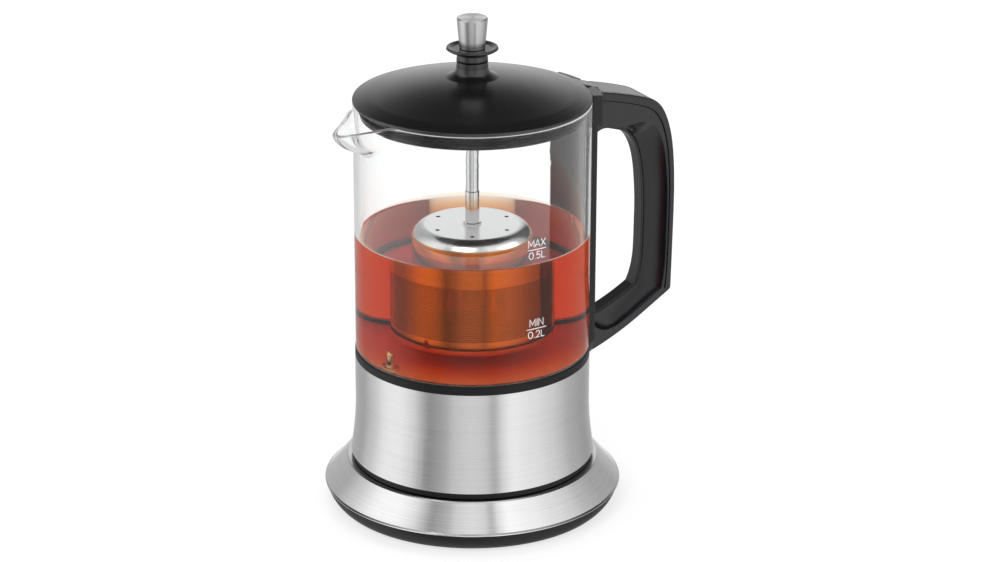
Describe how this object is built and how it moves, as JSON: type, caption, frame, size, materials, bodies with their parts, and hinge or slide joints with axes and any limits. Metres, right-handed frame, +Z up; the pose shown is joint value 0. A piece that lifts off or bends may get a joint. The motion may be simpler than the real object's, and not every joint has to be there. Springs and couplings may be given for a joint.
{
  "type": "automatic tea maker",
  "caption": "Glass tea jug with a heated steel foot on a round power base, a scooped side handle, and a domed lid whose pull-up rod carries a perforated tea basket.",
  "frame": {"origin": "on the jug's axis, on the table, in the plane of the foot ring's underside", "axes": "+Z up along the jug's axis and its rod, +X towards the handle, -X towards the pouring lip, +Y towards the cable outlet"},
  "size_m": [0.1671, 0.1356, 0.2283],
  "materials": {
    "foot_rubber": "soft matt rubber",
    "base_plastic": "fine satin moulding",
    "brushed_steel": "brushed round the axis",
    "screw_steel": "zinc plated",
    "socket_plastic": "heat-proof moulding",
    "contact_brass": "plain",
    "frame_plastic": "natural moulding",
    "polished_steel": "polished",
    "black_seal": "silicone",
    "spreader_aluminium": "plain",
    "board_green": "coated board",
    "jug_glass": "clear",
    "handle_plastic": "satin with a soft sheen",
    "pad_grey": "matt bonding pad",
    "grip_rubber": "soft matt",
    "button_plastic": "satin",
    "lid_plastic": "satin",
    "skirt_plastic": "smooth",
    "knob_steel": "turned",
    "basket_steel": "etched sieve",
    "print_white": "printed level marks",
    "tea": "clear amber liquid"
  },
  "bodies": {
    "base": {"foot_ring": "foot_rubber", "base_tray": "base_plastic", "base_trim": "brushed_steel", "base_deck": "base_plastic", "base_screws": "screw_steel", "socket_collar": "base_plastic", "base_socket": "socket_plastic", "socket_contacts": "contact_brass", "cable_bush": "foot_rubber"},
    "jug": {"jug_cap": "base_plastic", "jug_screws": "screw_steel", "steel_body": "brushed_steel", "inner_frame": "frame_plastic", "collar_ring": "base_plastic", "floor_plate": "polished_steel", "floor_seal": "black_seal", "heat_spreader": "spreader_aluminium", "heating_element": "spreader_aluminium", "control_unit": "frame_plastic", "plug_contacts": "contact_brass", "cutout_discs": "polished_steel", "control_board": "board_green", "temperature_probe": "polished_steel", "probe_nut": "contact_brass", "power_bezel": "polished_steel", "micro_switch": "frame_plastic", "glass_jug": "jug_glass", "handle_body": "handle_plastic", "handle_cover": "handle_plastic", "handle_pad": "pad_grey", "grip_liner": "grip_rubber", "handle_screws": "screw_steel", "button_spring": "polished_steel"},
    "lid_button": {"lid_button": "button_plastic"},
    "power_button": {"power_button": "handle_plastic"},
    "lid": {"lid_cover": "lid_plastic", "lid_skirt": "skirt_plastic", "lid_seal": "black_seal", "lid_bush": "frame_plastic", "lid_screws": "screw_steel"},
    "plunger": {"pull_collar": "lid_plastic", "knob": "knob_steel", "rod": "polished_steel", "rod_sleeve": "polished_steel", "rod_nut": "polished_steel", "basket_lid": "polished_steel"},
    "basket": {"basket": "basket_steel"}
  },
  "joints": [
    {"name": "jug_lift", "type": "slide", "parent": "base", "child": "jug", "axis": [0, 0, 1], "range_m": [0, 0.06]},
    {"name": "lid_lift", "type": "slide", "parent": "jug", "child": "lid", "axis": [0, 0, 1], "range_m": [0, 0.12]},
    {"name": "plunger_slide", "type": "slide", "parent": "lid", "child": "plunger", "axis": [0, 0, 1], "range_m": [0, 0.048]},
    {"name": "basket_twist", "type": "hinge", "parent": "plunger", "child": "basket", "pos_m": [0, 0, 0.121], "axis": [0, 0, 1], "range_deg": [-30, 0]},
    {"name": "lid_button_press", "type": "slide", "parent": "jug", "child": "lid_button", "axis": [0, 0, -1], "range_m": [0, 0.002], "stiffness_N_per_m": 500, "springref_m": -0.001, "deforming": ["button_spring"]},
    {"name": "power_button_press", "type": "slide", "parent": "jug", "child": "power_button", "axis": [-1, 0, 0], "range_m": [0, 0.0015], "stiffness_N_per_m": 500, "springref_m": -0.001}
  ]
}
